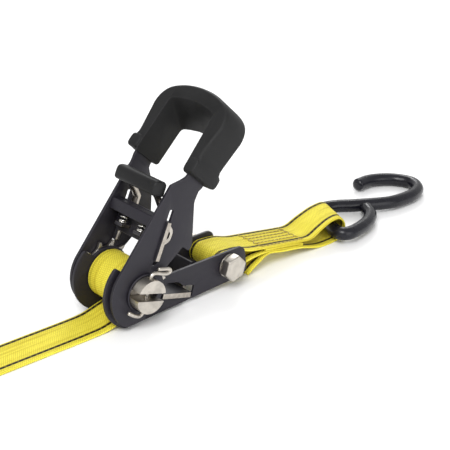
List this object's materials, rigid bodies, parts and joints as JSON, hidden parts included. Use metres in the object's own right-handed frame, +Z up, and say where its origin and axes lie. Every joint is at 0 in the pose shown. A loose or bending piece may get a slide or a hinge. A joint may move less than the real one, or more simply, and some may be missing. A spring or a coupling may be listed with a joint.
{
  "type": "ratchet strap",
  "caption": "Ratchet tie-down: a handle on base plates winds webbing on a slotted spindle; sprung pawls hold it, S-hooks anchor both ends.",
  "frame": {"origin": "on the floor under the middle of the ratchet, its anchor strap and the anchor hook", "axes": "+X from the spindle to the anchor bolt and along the anchor strap, -Y the side of the bolt's head, +Z up"},
  "size_m": [0.6508, 0.078, 0.1215],
  "materials": {
    "black_paint": "satin black powder coat",
    "zinc_steel": "bright zinc-plated steel",
    "yellow_webbing": "woven polyester, yellow with two dark tracer lines",
    "grip_rubber": "matte moulded rubber",
    "lever_plastic": "satin black plastic sleeve",
    "hook_vinyl": "glossy black vinyl dip"
  },
  "bodies": {
    "base": {"base_plate_near": "black_paint", "base_plate_far": "black_paint", "anchor_bolt": "zinc_steel", "anchor_nut": "zinc_steel", "anchor_washer_near": "zinc_steel", "anchor_washer_far": "zinc_steel", "anchor_sleeve": "zinc_steel", "lock_spring_bar": "zinc_steel", "lock_spring": "zinc_steel", "strap_tail": "yellow_webbing", "stored_roll": "yellow_webbing", "strap_end": "yellow_webbing"},
    "lock_pawl": {"lock_pawl": "zinc_steel", "lock_release_tab": "black_paint"},
    "spindle": {"half_shaft_upper": "zinc_steel", "half_shaft_lower": "zinc_steel", "strap_winding": "yellow_webbing", "ratchet_gear_near": "zinc_steel", "ratchet_gear_far": "zinc_steel", "spindle_washer_near": "black_paint", "spindle_washer_far": "black_paint", "cotter_pin_near": "zinc_steel", "cotter_pin_far": "zinc_steel"},
    "handle": {"handle_plate_near": "black_paint", "handle_plate_far": "black_paint", "handle_bar": "black_paint", "grip": "grip_rubber", "drive_guide": "black_paint", "drive_spring_near": "zinc_steel", "drive_spring_far": "zinc_steel"},
    "drive_pawl": {"drive_pawl": "zinc_steel", "release_lever": "lever_plastic", "pawl_clip_near": "zinc_steel", "pawl_clip_far": "zinc_steel"},
    "anchor_strap": {"anchor_strap": "yellow_webbing"},
    "anchor_hook": {"anchor_hook": "hook_vinyl"},
    "tail_hook": {"tail_hook": "hook_vinyl"}
  },
  "joints": [
    {"name": "handle_swing", "type": "hinge", "parent": "base", "child": "handle", "pos_m": [-0.12857, -0.00521, 0.02145], "axis": [0, -1, 0], "range_deg": [-42, 112]},
    {"name": "spindle_turn", "type": "hinge", "parent": "base", "child": "spindle", "pos_m": [-0.12857, -0.00521, 0.02145], "axis": [0, -1, 0], "continuous": true},
    {"name": "drive_pawl_slide", "type": "slide", "parent": "handle", "child": "drive_pawl", "axis": [0.3843, 0, 0.9232], "range_m": [-0.0019, 0.004], "stiffness_N_per_m": 600, "springref_m": 0.0004, "deforming": ["drive_spring_near", "drive_spring_far"]},
    {"name": "lock_pawl_slide", "type": "slide", "parent": "base", "child": "lock_pawl", "axis": [0.9655, 0, -0.2605], "range_m": [-0.0019, 0.003], "stiffness_N_per_m": 600, "deforming": ["lock_spring"]},
    {"name": "anchor_strap_swing", "type": "hinge", "parent": "base", "child": "anchor_strap", "pos_m": [-0.06016, -0.00521, 0.0151], "axis": [0, -1, 0], "range_deg": [-15, 60]},
    {"name": "anchor_hook_swing", "type": "hinge", "parent": "anchor_strap", "child": "anchor_hook", "pos_m": [0.04384, -0.00521, 0.0068], "axis": [-0.3872, -0.922, 0], "range_deg": [-40, 60]},
    {"name": "tail_hook_swing", "type": "hinge", "parent": "base", "child": "tail_hook", "pos_m": [-0.39148, -0.00521, 0.0068], "axis": [0.3872, 0.922, 0], "range_deg": [-40, 60]}
  ]
}
